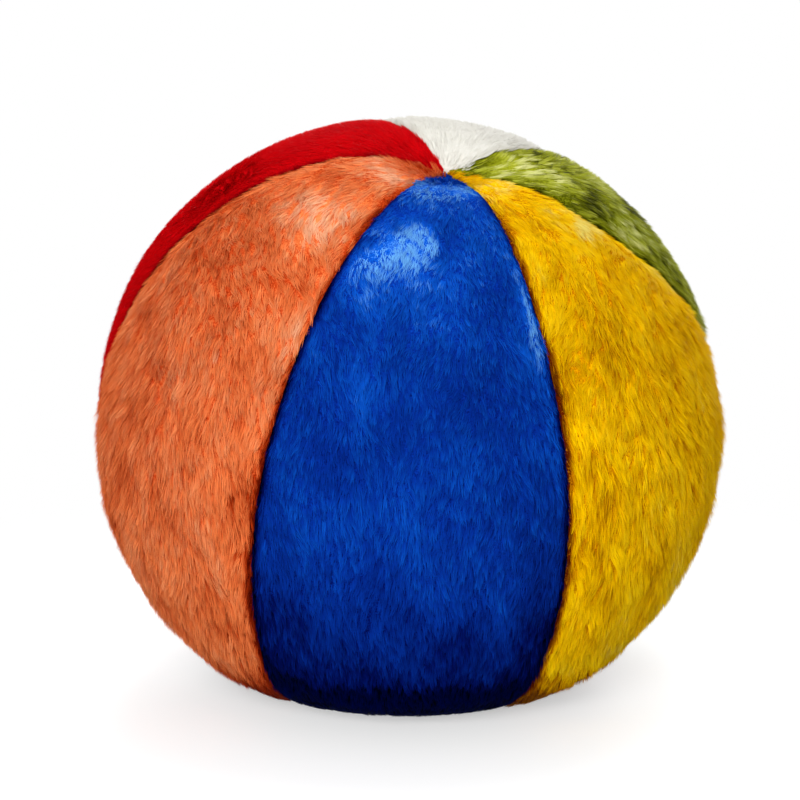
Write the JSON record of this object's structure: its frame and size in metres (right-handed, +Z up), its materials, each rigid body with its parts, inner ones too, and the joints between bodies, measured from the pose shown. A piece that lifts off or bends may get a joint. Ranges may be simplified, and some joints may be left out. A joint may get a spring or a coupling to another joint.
{
  "type": "stuffed plush ball",
  "caption": "Soft stuffed ball in beach-ball stripes: coloured pile-fabric gores sewn pole to pole over a fibre filling, settled on a flat foot; for soft play or display.",
  "frame": {"origin": "on the floor, under the middle of the ball's bounding box", "axes": "+Z up from the floor; -Y is the front, where the blue gore faces and towards which the top pole leans"},
  "size_m": [0.2474, 0.2494, 0.2267],
  "materials": {
    "blue_pile": "matte",
    "yellow_pile": "matte",
    "green_pile": "matte",
    "white_pile": "matte",
    "red_pile": "matte",
    "orange_pile": "matte",
    "sewing_thread": "satin",
    "polyester_fibre": "matte"
  },
  "bodies": {
    "root": {"blue_gore": "blue_pile", "yellow_gore": "yellow_pile", "green_gore": "green_pile", "white_gore": "white_pile", "red_gore": "red_pile", "orange_gore": "orange_pile", "orange_blue_needle_thread": "sewing_thread", "orange_blue_bobbin_thread": "sewing_thread", "blue_yellow_needle_thread": "sewing_thread", "blue_yellow_bobbin_thread": "sewing_thread", "yellow_green_needle_thread": "sewing_thread", "yellow_green_bobbin_thread": "sewing_thread", "green_white_needle_thread": "sewing_thread", "green_white_bobbin_thread": "sewing_thread", "white_red_upper_needle_thread": "sewing_thread", "white_red_upper_bobbin_thread": "sewing_thread", "white_red_lower_needle_thread": "sewing_thread", "white_red_lower_bobbin_thread": "sewing_thread", "red_orange_needle_thread": "sewing_thread", "red_orange_bobbin_thread": "sewing_thread", "closing_thread": "sewing_thread", "fibre_filling": "polyester_fibre"}
  },
  "joints": []
}
